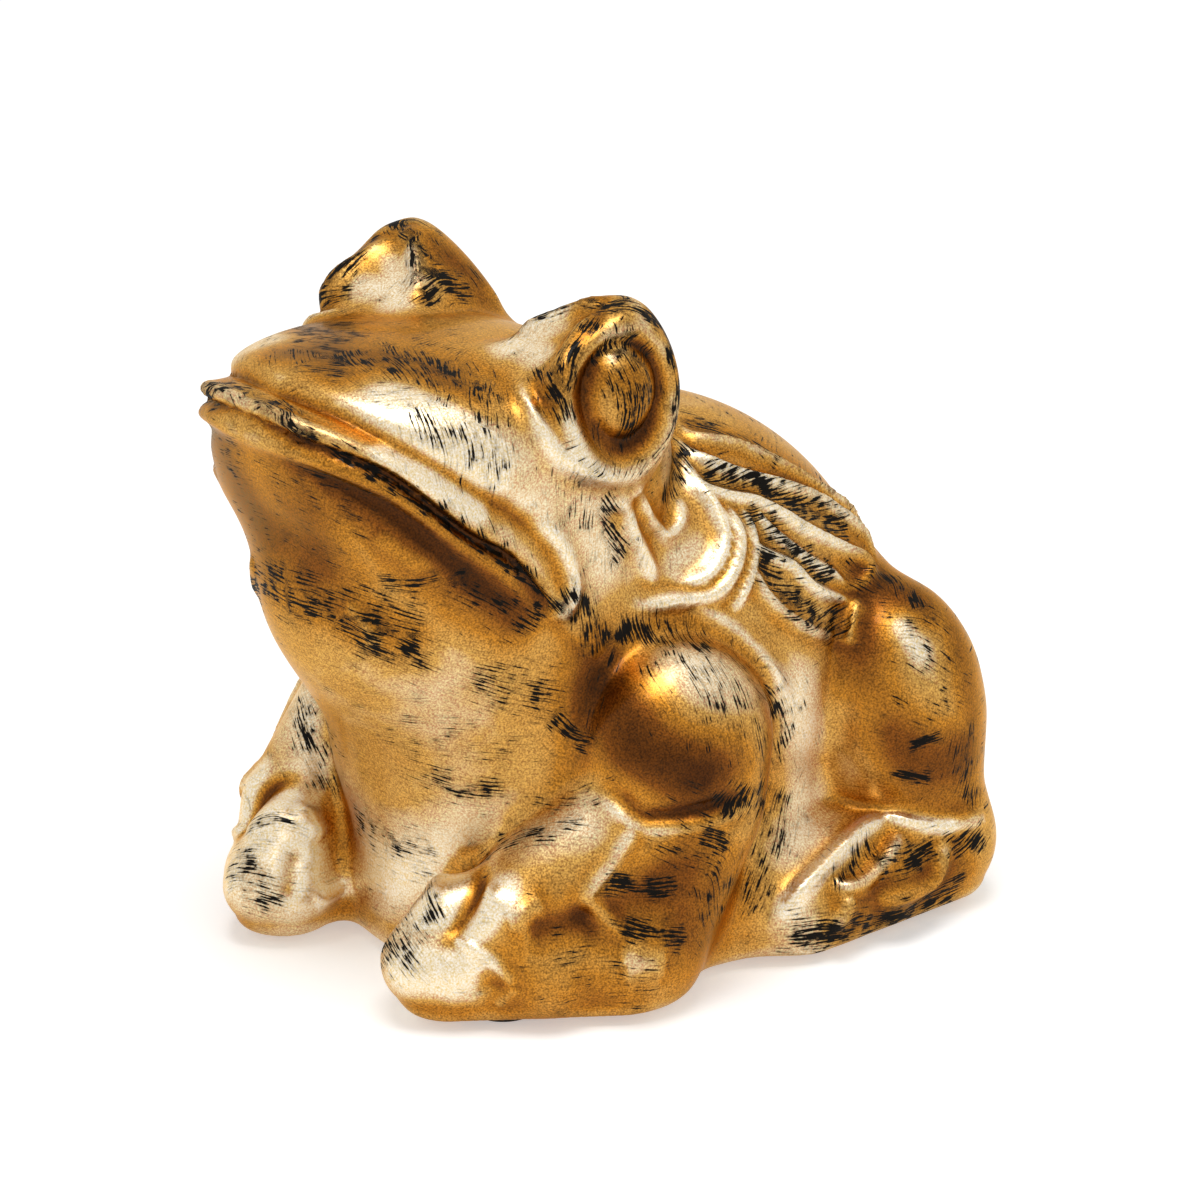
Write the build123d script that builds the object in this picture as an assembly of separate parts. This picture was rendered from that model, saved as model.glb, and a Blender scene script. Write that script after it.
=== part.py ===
from build123d import *
import math
import os

# The frog looks along -Y and its left side is +X. It stands on the floor at Z = 0.
# Places and masses are shares of the block below: X of half its width, Y of its length
# and Z of its height above the sole. Lengths are in millimetres.

# Block that the figure is laid out in
BODY_LENGTH = 100.0
BODY_WIDTH = 75.0
BODY_HEIGHT = 86.0

# Slip-cast wall round the hollow
WALL = 4.5

# Eyes
EYE_MOUND_RADIUS = 10.2
EYE_MOUND_RISE = 12.4
EYE_MOUND_REACH = 16.0
EYEBALL_RADIUS = 6.7
EYEBALL_BULGE = 3.2
EYE_RING_RADIUS = 7.5
EYE_RING_THICKNESS = 2.2
EYE_YAW = 6.0
EYE_PITCH = 6.0

# Mouth
LIP_THICKNESS = 2.8
LIP_CORNER_THICKNESS = 1.6
LIP_STATIONS = 24

# Limbs
ELBOW_RADIUS = 9.0
WRIST_RADIUS = 8.7
FOREARM_RADIUS = 9.2
KNUCKLE_RADIUS = 8.6
FRONT_HEEL_RADIUS = 9.6
FRONT_FOOT_RADIUS = 7.4
HIND_HEEL_RADIUS = 8.2
HIND_FOOT_RADIUS = 5.8
TOE_ROOT_RADIUS = 4.2
TOE_TIP_RADIUS = 3.4

# Pour hole in the underside, and the soft bung that closes it
POUR_HOLE_RADIUS = 8.0
BUNG_FLANGE_WIDTH = 2.5
BUNG_FLANGE_THICKNESS = 1.6
BUNG_RECESS_MARGIN = 0.4
BUNG_REACH = 3.0
BUNG_TAPER = 0.8
BUNG_CLEARANCE = 0.15

# Felt discs under the feet
FELT_THICKNESS = 1.0
FRONT_FELT_RADIUS = 4.0
HIND_FELT_RADIUS = 4.5

# Cuts run past a surface by this much
OVERRUN = 5.0

# Egg-shaped masses: middle, half of each extent, and the lean backwards in degrees
TRUNK_SHARES = (0.0, 0.12, 0.384), (0.747, 0.335, 0.372)
TRUNK_LEAN = -40.0
CHEST_SHARES = (0.0, -0.10, 0.302), (0.64, 0.21, 0.419)
CHEST_LEAN = 14.0
THROAT_SHARES = (0.0, -0.195, 0.599), (0.597, 0.266, 0.277)
THROAT_LEAN = -30.0
NECK_SHARES = (0.0, -0.09, 0.477), (0.64, 0.305, 0.19)
SKIRT_SHARES = (0.0, 0.08, 0.07), (0.813, 0.36, 0.2326)
UPPER_ARM_SHARES = (0.693, -0.045, 0.355), (0.288, 0.132, 0.151)
UPPER_ARM_LEAN = -20.0
HAUNCH_SHARES = (0.667, 0.33, 0.314), (0.28, 0.13, 0.198)
HAUNCH_LEAN = 10.0

# The hollow in the head ends in this oval
HOLLOW_LAST_OVAL = 5

# Ovals that the head is lofted through, from the throat to the snout: the front point
# and the back point of each on the middle plane, and its half width
OVAL_SHARES = (
    ((-0.38, 0.45), (0.05, 0.56), 0.50),
    ((-0.44, 0.55), (0.10, 0.66), 0.61),
    ((-0.457, 0.64), (0.10, 0.735), 0.63),
    ((-0.462, 0.72), (0.075, 0.80), 0.63),
    ((-0.468, 0.775), (0.02, 0.85), 0.62),
    ((-0.472, 0.82), (-0.06, 0.90), 0.568),
    ((-0.478, 0.85), (-0.17, 0.925), 0.46),
    ((-0.480, 0.872), (-0.28, 0.93), 0.355),
    ((-0.478, 0.888), (-0.38, 0.928), 0.24),
    ((-0.472, 0.90), (-0.43, 0.92), 0.13),
)

# Half of the mouth line: from the corner forwards, an oval and the angle round it from
# its front point, then the place where the lips meet in the middle
MOUTH_POINTS = ((1, 80.0), (2, 73.0), (3, 62.0), (4, 53.0), (5, 46.0), (6, 32.0))
MOUTH_MIDDLE_SHARES = (0.0, -0.483, 0.877)

# Middle of the eye's outer face, and the ovals behind the face that make its mound: how
# far back each is, its share of the breadth and its share of the rise
EYE_SHARES = (0.64, -0.106, 0.879)
EYE_MOUND_SHARES = (
    (0.0, 0.84, 0.84),
    (0.035, 0.95, 0.95),
    (0.12, 1.0, 1.0),
    (0.52, 0.95, 0.87),
    (0.78, 0.90, 0.64),
    (1.0, 0.80, 0.40),
)

# A point on the flat that cuts off the mound's front, and the way that the flat faces
EYE_FLAT_SHARES = (0.565, -0.08, 1.053)
EYE_FLAT_AIM = (-0.36, -0.56, 0.75)

# Middles of the limbs' round ends
ELBOW_SHARES = (0.747, -0.04, 0.256)
WRIST_SHARES = (0.731, -0.11, 0.093)
FOREARM_SHARES = (0.715, -0.09, 0.279)
KNUCKLE_SHARES = (0.64, -0.265, 0.14)
FRONT_HEEL_SHARES = (0.683, -0.14, 0.058)
FRONT_FOOT_SHARES = (0.421, -0.326, 0.058)
HIND_HEEL_SHARES = (0.72, 0.372, 0.064)
HIND_FOOT_SHARES = (0.784, 0.135, 0.0465)

# Root and tip of each toe on a front foot and on a hind foot
FRONT_TOE_SHARES = (
    ((0.44, -0.24, 0.14), (0.325, -0.346, 0.076)),
    ((0.493, -0.25, 0.14), (0.432, -0.369, 0.073)),
    ((0.573, -0.23, 0.14), (0.533, -0.33, 0.076)),
    ((0.64, -0.19, 0.14), (0.656, -0.266, 0.076)),
)
HIND_TOE_SHARES = (
    ((0.747, 0.19, 0.093), (0.813, 0.105, 0.058)),
    ((0.76, 0.25, 0.105), (0.859, 0.175, 0.056)),
    ((0.76, 0.31, 0.11), (0.861, 0.25, 0.06)),
)

# Middles of the felt discs and of the pour hole on the sole
FRONT_FELT_SHARES = (0.52, -0.26, 0.0)
HIND_FELT_SHARES = (0.70, 0.33, 0.0)
POUR_HOLE_SHARES = (0.0, 0.08, 0.0)


def place(shares):
    """A place on the figure from its shares of half width, length and height."""
    across, along, up = shares
    return Vector(across * BODY_WIDTH / 2, along * BODY_LENGTH, up * BODY_HEIGHT)


def both_sides(shape):
    """A shape on the left and its mirror image on the right."""
    return [shape, mirror(shape, Plane.YZ)]


def egg(mass_shares, lean=0.0, inset=0.0):
    """An egg-shaped mass, drawn in by the inset."""
    middle_shares, extent_shares = mass_shares
    extent = place(extent_shares) - Vector(inset, inset, inset)
    ball = scale(Sphere(extent.X), by=(1, extent.Y / extent.X, extent.Z / extent.X))
    return Pos(*place(middle_shares)) * Rot(lean, 0, 0) * ball


def oval_frame(number):
    """Plane, half width and half depth of an oval, with Y towards its front."""
    front_share, back_share, half_width_share = OVAL_SHARES[number]
    front = place((0, *front_share))
    back = place((0, *back_share))
    reach = front - back
    frame = Plane((front + back) / 2, x_dir=(1, 0, 0), z_dir=Vector(1, 0, 0).cross(reach))
    return frame, half_width_share * BODY_WIDTH / 2, reach.length / 2


def oval_point(number, degrees):
    """The point on an oval at an angle round from its front point to the left."""
    frame, half_width, half_depth = oval_frame(number)
    angle = math.radians(degrees)
    return frame.from_local_coords((half_width * math.sin(angle), half_depth * math.cos(angle)))


def head(last_oval, inset=0.0):
    """Throat, jaw and flat-topped skull in one smooth loft, drawn in by the inset."""
    rings = []
    for number in range(last_oval + 1):
        frame, half_width, half_depth = oval_frame(number)
        rings.append(Wire([Edge.make_ellipse(half_width - inset, half_depth - inset, frame)]))
    return Solid.make_loft(rings)


def skirt():
    """Mass round the sole, with an upright wall at the floor."""
    middle_shares, extent_shares = SKIRT_SHARES
    extent = place(extent_shares)
    middle = place(middle_shares)
    wall = extrude(Ellipse(extent.X, extent.Y), middle.Z)
    return [egg(SKIRT_SHARES), Pos(middle.X, middle.Y, 0) * wall]


def limb(start_shares, end_shares, start_radius, end_radius):
    """A tapered limb with round ends."""
    start = place(start_shares)
    axis = place(end_shares) - start
    length = axis.length
    lean = math.asin((start_radius - end_radius) / length)
    low = (start_radius * math.cos(lean), start_radius * math.sin(lean))
    high = (end_radius * math.cos(lean), length + end_radius * math.sin(lean))
    low_half = math.radians(-90) / 2 + lean / 2
    high_half = math.radians(90) / 2 + lean / 2
    outline = Plane.XZ * (
        ThreePointArc(
            (0, -start_radius),
            (start_radius * math.cos(low_half), start_radius * math.sin(low_half)),
            low,
        )
        + Line(low, high)
        + ThreePointArc(
            high,
            (end_radius * math.cos(high_half), length + end_radius * math.sin(high_half)),
            (0, length + end_radius),
        )
        + Line((0, length + end_radius), (0, -start_radius))
    )
    return Plane(start, z_dir=axis) * revolve(make_face(outline), Axis.Z)


def foot(heel_shares, end_shares, heel_radius, end_radius):
    """A tapered foot with an upright wall at the floor."""
    heel = place(heel_shares)
    end = place(end_shares)
    circles = [
        Pos(heel.X, heel.Y) * Circle(heel_radius),
        Pos(end.X, end.Y) * Circle(end_radius),
    ]
    outline = make_hull(circles[0].edges() + circles[1].edges())
    wall = extrude(outline, min(heel.Z, end.Z))
    return [limb(heel_shares, end_shares, heel_radius, end_radius), wall]


def toes(toe_shares):
    """Rounded toes that stand out round the end of a foot."""
    return [limb(root, tip, TOE_ROOT_RADIUS, TOE_TIP_RADIUS) for root, tip in toe_shares]


def front_leg():
    """Upper arm, forearm, shin and foot with its toes."""
    return [
        egg(UPPER_ARM_SHARES, UPPER_ARM_LEAN),
        limb(ELBOW_SHARES, WRIST_SHARES, ELBOW_RADIUS, WRIST_RADIUS),
        limb(FOREARM_SHARES, KNUCKLE_SHARES, FOREARM_RADIUS, KNUCKLE_RADIUS),
        *foot(FRONT_HEEL_SHARES, FRONT_FOOT_SHARES, FRONT_HEEL_RADIUS, FRONT_FOOT_RADIUS),
        *toes(FRONT_TOE_SHARES),
    ]


def hind_leg():
    """Folded haunch and the foot that lies along the flank, with its toes."""
    return [
        egg(HAUNCH_SHARES, HAUNCH_LEAN),
        *foot(HIND_HEEL_SHARES, HIND_FOOT_SHARES, HIND_HEEL_RADIUS, HIND_FOOT_RADIUS),
        *toes(HIND_TOE_SHARES),
    ]


def eye():
    """Mound with a rounded rim, the ring on its outer face and the eyeball inside it."""
    yaw = math.radians(EYE_YAW)
    pitch = math.radians(EYE_PITCH)
    outwards = (
        math.cos(yaw) * math.cos(pitch),
        -math.sin(yaw) * math.cos(pitch),
        math.sin(pitch),
    )
    face = Plane(place(EYE_SHARES), x_dir=(math.sin(yaw), math.cos(yaw), 0), z_dir=outwards)
    rings = []
    for back_share, breadth_share, rise_share in EYE_MOUND_SHARES:
        frame = face.offset(-back_share * EYE_MOUND_REACH)
        breadth = breadth_share * EYE_MOUND_RADIUS
        rings.append(Wire([Edge.make_ellipse(breadth, rise_share * EYE_MOUND_RISE, frame)]))
    flat = Plane(place(EYE_FLAT_SHARES), z_dir=EYE_FLAT_AIM)
    align = (Align.CENTER, Align.CENTER, Align.MIN)
    above_flat = Box(BODY_WIDTH, BODY_WIDTH, BODY_WIDTH, align=align)
    mound = Solid.make_loft(rings) - flat * above_flat
    ring = face * Torus(EYE_RING_RADIUS, EYE_RING_THICKNESS / 2)
    ball = face * Pos(0, 0, EYEBALL_BULGE - EYEBALL_RADIUS) * Sphere(EYEBALL_RADIUS)
    return [mound, ring, ball]


def mouth_line():
    """The line where the lips meet, from the left corner round the snout to the right."""
    left = [oval_point(number, angle) for number, angle in MOUTH_POINTS]
    right = [Vector(-point.X, point.Y, point.Z) for point in reversed(left)]
    return Edge.make_spline(left + [place(MOUTH_MIDDLE_SHARES)] + right)


def bead(line, middle_radius, end_radius, stations):
    """A round bead along a line, thickest in the middle of the line."""
    rings = []
    for station in range(stations + 1):
        share = station / stations
        swell = math.sin(math.pi * share)
        radius = end_radius + (middle_radius - end_radius) * swell
        frame = Plane(line.position_at(share), z_dir=line.tangent_at(share))
        rings.append(Wire([Edge.make_circle(radius, frame)]))
    return Solid.make_loft(rings)


def below(height):
    """Everything below a height, as a block to cut with."""
    block = Box(2 * BODY_WIDTH, 2 * BODY_LENGTH, BODY_HEIGHT)
    return Pos(0, 0, height - BODY_HEIGHT / 2) * block


def hollow():
    """The space inside the wall, from the floor of the body up into the throat."""
    space = egg(TRUNK_SHARES, TRUNK_LEAN, WALL)
    for piece in [
        egg(CHEST_SHARES, CHEST_LEAN, WALL),
        egg(THROAT_SHARES, THROAT_LEAN, WALL),
        egg(NECK_SHARES, inset=WALL),
        egg(SKIRT_SHARES, inset=WALL),
        head(HOLLOW_LAST_OVAL, WALL),
    ]:
        space = space.fuse(piece)
    return space - below(WALL)


def bung_seat():
    """Pour hole with its recess, open downwards."""
    recess_radius = POUR_HOLE_RADIUS + BUNG_FLANGE_WIDTH + BUNG_CLEARANCE
    recess_depth = BUNG_FLANGE_THICKNESS + BUNG_RECESS_MARGIN
    align = (Align.CENTER, Align.CENTER, Align.MIN)
    recess = Cylinder(recess_radius, recess_depth + OVERRUN, align=align)
    bore = Cylinder(POUR_HOLE_RADIUS, WALL + 2 * OVERRUN, align=align)
    return Pos(*place(POUR_HOLE_SHARES)) * Pos(0, 0, -OVERRUN) * (recess + bore)


def bung():
    """Soft bung: a flange that seats up against the recess and a tapered plug."""
    top = WALL - BUNG_FLANGE_THICKNESS - BUNG_RECESS_MARGIN + BUNG_REACH
    plug_radius = POUR_HOLE_RADIUS - BUNG_CLEARANCE
    flange_radius = POUR_HOLE_RADIUS + BUNG_FLANGE_WIDTH
    outline = Plane.XZ * Polyline(
        (0, -BUNG_FLANGE_THICKNESS),
        (flange_radius, -BUNG_FLANGE_THICKNESS),
        (flange_radius, 0),
        (plug_radius, 0),
        (plug_radius - BUNG_TAPER, top),
        (0, top),
        close=True,
    )
    seat = Pos(0, 0, BUNG_FLANGE_THICKNESS + BUNG_RECESS_MARGIN)
    return Pos(*place(POUR_HOLE_SHARES)) * seat * revolve(make_face(outline), Axis.Z)


def felt(shares, radius):
    """A felt disc stuck to the sole."""
    disc = Cylinder(radius, FELT_THICKNESS, align=(Align.CENTER, Align.CENTER, Align.MAX))
    return Pos(*place(shares)) * disc


def casting():
    """The hollow ceramic, standing on its sole at Z = 0."""
    shape = egg(TRUNK_SHARES, TRUNK_LEAN)
    for piece in [
        egg(CHEST_SHARES, CHEST_LEAN),
        egg(THROAT_SHARES, THROAT_LEAN),
        egg(NECK_SHARES),
        *skirt(),
        head(len(OVAL_SHARES) - 1),
    ]:
        shape = shape.fuse(piece)
    for piece in hind_leg() + front_leg() + eye():
        shape = shape.fuse(*both_sides(piece))
    line = mouth_line()
    shape = shape.fuse(bead(line, LIP_THICKNESS / 2, LIP_CORNER_THICKNESS / 2, LIP_STATIONS))
    return shape - below(0) - hollow() - bung_seat()


def pieces():
    """Every piece of the figure in place, with the sole at Z = 0."""
    return {
        "body_casting": casting(),
        "pour_hole_bung": bung(),
        "felt_pad_front_left": felt(FRONT_FELT_SHARES, FRONT_FELT_RADIUS),
        "felt_pad_front_right": mirror(felt(FRONT_FELT_SHARES, FRONT_FELT_RADIUS), Plane.YZ),
        "felt_pad_hind_left": felt(HIND_FELT_SHARES, HIND_FELT_RADIUS),
        "felt_pad_hind_right": mirror(felt(HIND_FELT_SHARES, HIND_FELT_RADIUS), Plane.YZ),
    }


# The figure is centred fore and aft, and stands on its felt discs at Z = 0
os.makedirs("parts", exist_ok=True)
figure = pieces()
middle = figure["body_casting"].bounding_box().center()
stand = Pos(0, -middle.Y, FELT_THICKNESS)
for name, shape in figure.items():
    export_step(stand * shape, f"parts/{name}.step")
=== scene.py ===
import math

import bmesh
import bpy
import numpy as np
from bpy.props import FloatProperty, FloatVectorProperty, PointerProperty
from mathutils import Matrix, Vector
from mathutils.bvhtree import BVHTree


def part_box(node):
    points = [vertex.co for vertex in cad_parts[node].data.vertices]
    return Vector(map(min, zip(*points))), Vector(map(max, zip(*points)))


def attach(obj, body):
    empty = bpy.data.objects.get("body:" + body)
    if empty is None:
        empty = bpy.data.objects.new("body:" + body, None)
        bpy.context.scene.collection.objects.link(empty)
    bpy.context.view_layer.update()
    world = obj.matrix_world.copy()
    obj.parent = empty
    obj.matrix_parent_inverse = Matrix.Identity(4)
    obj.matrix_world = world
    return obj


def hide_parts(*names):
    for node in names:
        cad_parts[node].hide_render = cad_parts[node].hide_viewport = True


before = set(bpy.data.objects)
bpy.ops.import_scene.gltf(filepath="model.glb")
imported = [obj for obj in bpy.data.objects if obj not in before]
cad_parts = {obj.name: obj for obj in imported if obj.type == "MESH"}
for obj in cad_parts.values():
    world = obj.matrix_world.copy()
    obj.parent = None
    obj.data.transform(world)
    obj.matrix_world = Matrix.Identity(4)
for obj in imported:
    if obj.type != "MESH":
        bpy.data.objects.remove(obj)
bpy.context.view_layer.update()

bl_info = {
    "name": "Gilded Ceramic Frog",
    "version": (1, 0, 0),
    "blender": (4, 5, 0),
    "location": "View3D > Sidebar > Frog",
    "description": "Models a cast ceramic frog ornament with a brushed gold finish",
    "category": "Object",
}

# Lengths in the modelling are millimetres from the middle of the sole: the frog looks
# along -Y and its left side is +X.
MM = 0.001
FRONT_PAD_Y = -26.0
PAD_LOW, PAD_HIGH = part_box("felt_pad_front_left")
SOLE = np.array([0.0, (PAD_LOW.y + PAD_HIGH.y) / 2 / MM - FRONT_PAD_Y, PAD_HIGH.z / MM])

# The photograph's camera: degrees round from the face and up, and pixels of a frame of 1200
CAMERA_AROUND = 50.0
CAMERA_UP = 21.0
CAMERA_DISTANCE = 800.0
CAMERA_TARGET = np.array([6.4, 0.4, 42.0])
FRAME_PIXELS = 1200.0
FOCAL_PIXELS = 6476.0
SENSOR_WIDTH = 36.0

# Egg-shaped masses: middle, half extents, and the lean backwards in degrees
TRUNK = (0, 12, 33), (28, 34.6, 30.5), -40
CHEST = (0, -10, 26), (23.5, 20.4, 36), 14
THROAT = (0, -18.8, 51.5), (21.6, 24.7, 23.6), -30
UPPER_ARM = (26, -4.5, 30.5), (10.8, 13.2, 13.0), -20
HAUNCH = (25, 33.0, 25.6), (10.3, 12.0, 15.8), 8
SKIRT = (0, 8, 6), (30.5, 36, 20), 0
SKIRT_WALL = 4.0
SOLE_FILLET = 2.2

# Tapered limbs: start, end, and the radius at each
FOREARM = (28, -4, 22), (27.4, -11, 8), 9.0, 8.7
SHIN = (25.8, -8.6, 24), (21.8, -24.8, 12), 8.8, 7.7
RUMP = (12, 26, 44), (21.6, 32.2, 33), 7.2, 8.8
HEEL = (24.5, 36.0, 22), (26.2, 36.9, 8), 8.6, 8.6
FRONT_FOOT = (25.6, -14, 5.5), (16.6, -32.0, 5.8), 9.6, 7.0
HIND_FOOT = (27, 37.2, 6.5), (29.4, 13.5, 4), 8.2, 5.8
FOOT_WALL = 2.5
TOES = (
    ((16.0, -30.8, 11.6), (13.2, -34.4, 6.5), 4.6, 4.0),
    ((18.5, -25.0, 12.0), (16.2, -36.9, 6.3), 4.2, 3.4),
    ((21.5, -23.0, 12.0), (20.0, -33.0, 6.5), 4.2, 3.4),
    ((25.2, -18.0, 10.5), (26.6, -25.2, 5.8), 4.8, 4.5),
    ((28.0, 19.0, 8.0), (30.5, 10.5, 5.0), 4.2, 3.4),
    ((28.5, 25.0, 9.0), (32.2, 17.5, 4.8), 4.2, 3.4),
    ((28.5, 31.0, 9.5), (32.3, 25.0, 5.2), 4.2, 3.4),
)

# Outline of the head seen from above: half width, reach forwards and back of its middle
HEAD_MIDDLE_Y = -18.0
SKULL_OUTLINE = 23.3, 30.5, 28.0
JAW_OUTLINE = 22.5, 32.2, 28.0
OUTLINE_POWER = 2.2
HEAD_EDGE_FILLET = 6.0

# The crown: its height, where along Y it is highest and where it turns down behind the
# eyes, and how fast it falls sideways, from the highest line, and behind the eyes
CROWN_HEIGHT = 80.5
CROWN_TOP_Y = -30.0
CROWN_BACK_Y = -12.0
CROWN_FALLS = 0.0095, 0.0045, 0.016

# The line between the lips rises through the turn. Skull and jaw slant at it and overlap.
MOUTH_TURN_Z = 52.0
MOUTH_RISE = 27.5
MOUTH_TURN_Y = -22.0
MOUTH_TURN_LENGTH = 22.0
MOUTH_SLANT = 1.3
MOUTH_OVERLAP = 2.0
LIP_FILLET = 2.0

# The jaw: a point and the aim of the flat under the chin, and where it ends in the throat
CHIN_FLAT = (0, -50.2, 71.0), (0, -0.86, -0.51)
JAW_FOOT = 50.0
JAW_FOOT_FILLET = 12.0

# Eye mound: its peak and the aims of the two flats that meet there, its outer face, the
# oval rim of that face, where it rises from the head, and the fillets of the ridge
# between the flats, of the face, of the rim and of the root
EYE_PEAK = (18.9, -6.0, 88.2)
EYE_FRONT_AIM = (-0.12, -0.52, 0.85)
EYE_INNER_AIM = (-0.62, 0.25, 0.67)
EYE_MIDDLE = (23.2, -11.0, 75.4)
EYE_OUTWARDS = (0.985, -0.10, 0.10)
EYE_RIM = 9.8, 12.8
EYE_ROOT_X = 8.0
EYE_FILLETS = 1.8, 2.2, 2.6, 3.0

# The eyeball and the ring round it as turned profiles: distances from the middle of
# each, and heights. The ball sits a little high and back in the ring, and both are
# taller than wide.
BALL_OFFSET = (0.0, 0.5, 1.0)
BALL_RADII = (0.0, 1.5, 3.0, 4.0, 4.7, 5.2, 6.0)
BALL_HEIGHTS = (3.3, 3.0, 2.2, 1.3, 0.3, -0.6, -1.5)
RING_RADII = (0.0, 5.4, 6.2, 7.0, 7.8, 8.6, 9.4, 10.0)
RING_HEIGHTS = (-0.5, -0.3, 0.4, 1.0, 1.2, 0.9, 0.2, 0.0)
EYE_TALL_SHARE = 1.18
EYE_REACH = 5.0
PROFILE_POINTS = 121
PROFILE_BLUR = 9

# The bung's recess
POUR_HOLE_Y = 8.0
RECESS_RADIUS = 10.65
RECESS_DEPTH = 2.0
RECESS_FILLET = 0.1

# The skin starts as a ball: its middle and radius, and how often and by what share of
# their distance its points move in
START_MIDDLE = np.array([0.0, 0.0, 38.0])
START_RADIUS = 90.0
START_TURNS = 60
START_SHARE = 0.8
# It is meshed at this share of the final spacing first, and its moves are limited
ROUGH_SPACING_SHARE = 1.6
LEAST_SLOPE_SQUARED = 0.25
LARGEST_MOVE = 2.5

# A path on the skin breaks off where it would step further than this
LARGEST_STEP = 4.0
# A ray that misses the frog is followed this far round its target, in these steps, to
# find skin at most this far off
RAY_REACH = 70.0
RAY_STEP = 2.0
LARGEST_MISS = 3.0

# Ridges and grooves, by where they show in the photograph: name, half width and height
# in millimetres, and the pixels they run through
RELIEF = (
    ("lip groove", 1.3, -1.4, (
        (222, 381), (256, 381), (329, 409), (412, 455), (478, 495), (528, 525), (555, 555),
        (564, 588))),
    ("upper lip", 2, 1.2, (
        (217, 393), (243, 402), (279, 419), (346, 459), (412, 498), (478, 542), (538, 596))),
    ("mouth", 0.8, -2.2, (
        (208, 404), (246, 415), (289, 437), (336, 454), (392, 480), (465, 534), (512, 563),
        (548, 606), (563, 610))),
    ("lower lip", 1.5, 1, (
        (215, 422), (246, 435), (313, 462), (379, 487), (445, 527), (495, 560), (530, 595))),
    ("chin groove", 1.5, -0.9, ((263, 447), (352, 490), (412, 524), (478, 587), (518, 612))),
    ("mouth corner fold", 1.2, 1.2, (
        (528, 520), (558, 545), (572, 580), (568, 605), (548, 617))),
    ("throat fold", 1.4, 0.6, ((374, 533), (400, 552), (432, 573))),
    ("throat fold two", 1.2, 0.6, ((345, 600), (366, 625), (379, 648))),
    ("far brow edge", 1, 1, ((412, 224), (414, 255), (417, 293))),
    ("brow edge", 1.2, 1.1, ((590, 312), (566, 345), (553, 385), (552, 405))),
    ("eye fold", 1.3, 1.4, (
        (517, 378), (530, 412), (546, 440), (562, 458), (590, 474), (618, 476))),
    ("nostril", 0.8, -1, ((232, 364), (244, 368), (254, 375))),
    ("inner drop", 1, 1.4, (
        (636, 486), (640, 505), (650, 524), (664, 535), (678, 522), (680, 500))),
    ("outer drop", 1.2, 1.6, (
        (680, 474), (705, 498), (720, 525), (722, 548), (710, 572), (688, 584), (668, 578))),
    ("cheek ridge", 1.2, 1.3, ((622, 498), (630, 530), (644, 560), (656, 584))),
    ("first bow", 1.3, 1.9, (
        (718, 500), (730, 520), (736, 545), (730, 572), (712, 594), (673, 601), (631, 604))),
    ("second bow", 0.9, 1.5, (
        (738, 504), (748, 530), (751, 555), (746, 580), (738, 598), (727, 615))),
    ("back vein one", 0.8, 1.5, (
        (671, 419), (692, 437), (734, 447), (767, 461), (799, 479), (841, 507), (869, 535))),
    ("back vein two", 0.9, 1.7, (
        (673, 437), (692, 456), (734, 475), (776, 486), (813, 500), (841, 519), (865, 540),
        (874, 561))),
    ("back vein three", 0.9, 1.7, (
        (680, 451), (687, 470), (701, 489), (725, 498), (753, 503), (781, 517), (804, 531),
        (832, 545), (860, 559), (869, 573), (858, 586), (841, 589))),
    ("back vein four", 0.8, 1.2, (
        (753, 503), (764, 526), (786, 545), (806, 560), (830, 574), (848, 588))),
    ("leaf one", 0.8, 1.3, (
        (750, 520), (752, 545), (768, 556), (790, 566), (812, 588), (840, 600), (855, 602))),
    ("leaf two", 0.8, 1.2, ((750, 560), (760, 588), (782, 612), (812, 632), (835, 636))),
    ("leaf three", 1.2, 1.6, ((856, 598), (851, 622), (846, 646))),
    ("shoulder fold", 1.4, 1, (
        (628, 607), (660, 601), (700, 608), (740, 636), (772, 672), (786, 704))),
    ("elbow crease", 1.3, -0.9, ((597, 783), (622, 800), (647, 817), (694, 813), (753, 793))),
    ("elbow edge", 0.9, 0.9, ((600, 796), (645, 828), (700, 823), (750, 805))),
    ("wrist edge", 1, 1.1, ((642, 815), (615, 856), (588, 896), (606, 918), (627, 939))),
    ("finger one", 2.6, 0.5, ((440, 880), (436, 905), (438, 930))),
    ("finger two", 2.6, 0.7, ((507, 890), (486, 914), (466, 940))),
    ("finger gap", 1.4, -1, ((484, 866), (472, 902), (454, 938))),
    ("toe ridge", 0.9, 0.9, ((454, 938), (483, 954), (503, 972), (518, 986))),
    ("toe ridge two", 1, 0.6, ((495, 1006), (508, 994), (518, 986))),
    ("toe hollow", 1.6, -0.5, ((478, 970), (488, 990))),
    ("hand hollow", 2.6, -1.2, ((525, 930), (560, 925), (600, 915))),
    ("knuckle one", 1.6, 0.9, ((505, 925), (524, 914), (545, 905))),
    ("knuckle two", 2.2, 0.9, ((620, 964), (645, 962), (668, 962))),
    ("far finger two", 1.5, 0.7, ((302, 805), (310, 820), (322, 838))),
    ("far finger three", 1.5, 1, ((312, 905), (330, 892), (352, 882))),
    ("far finger gap", 1.5, -0.9, ((300, 845), (292, 870), (288, 900))),
    ("hind foot edge", 1.1, 1.8, (
        (886, 815), (866, 828), (846, 845), (822, 868), (798, 893), (784, 912))),
    ("hind foot top", 1.1, 1.5, ((880, 813), (905, 822), (942, 826), (984, 818))),
    ("hind toe one", 1, 1.6, ((902, 832), (884, 860), (862, 882), (845, 888), (833, 878))),
    ("hind toe two", 1, 1.6, ((944, 836), (940, 862), (926, 884), (898, 897), (876, 898))),
    ("hind toe three", 1, 1.4, ((848, 892), (845, 912), (832, 926))),
    ("flank fold", 1, 1, ((855, 600), (849, 622), (843, 645))),
)

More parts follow.
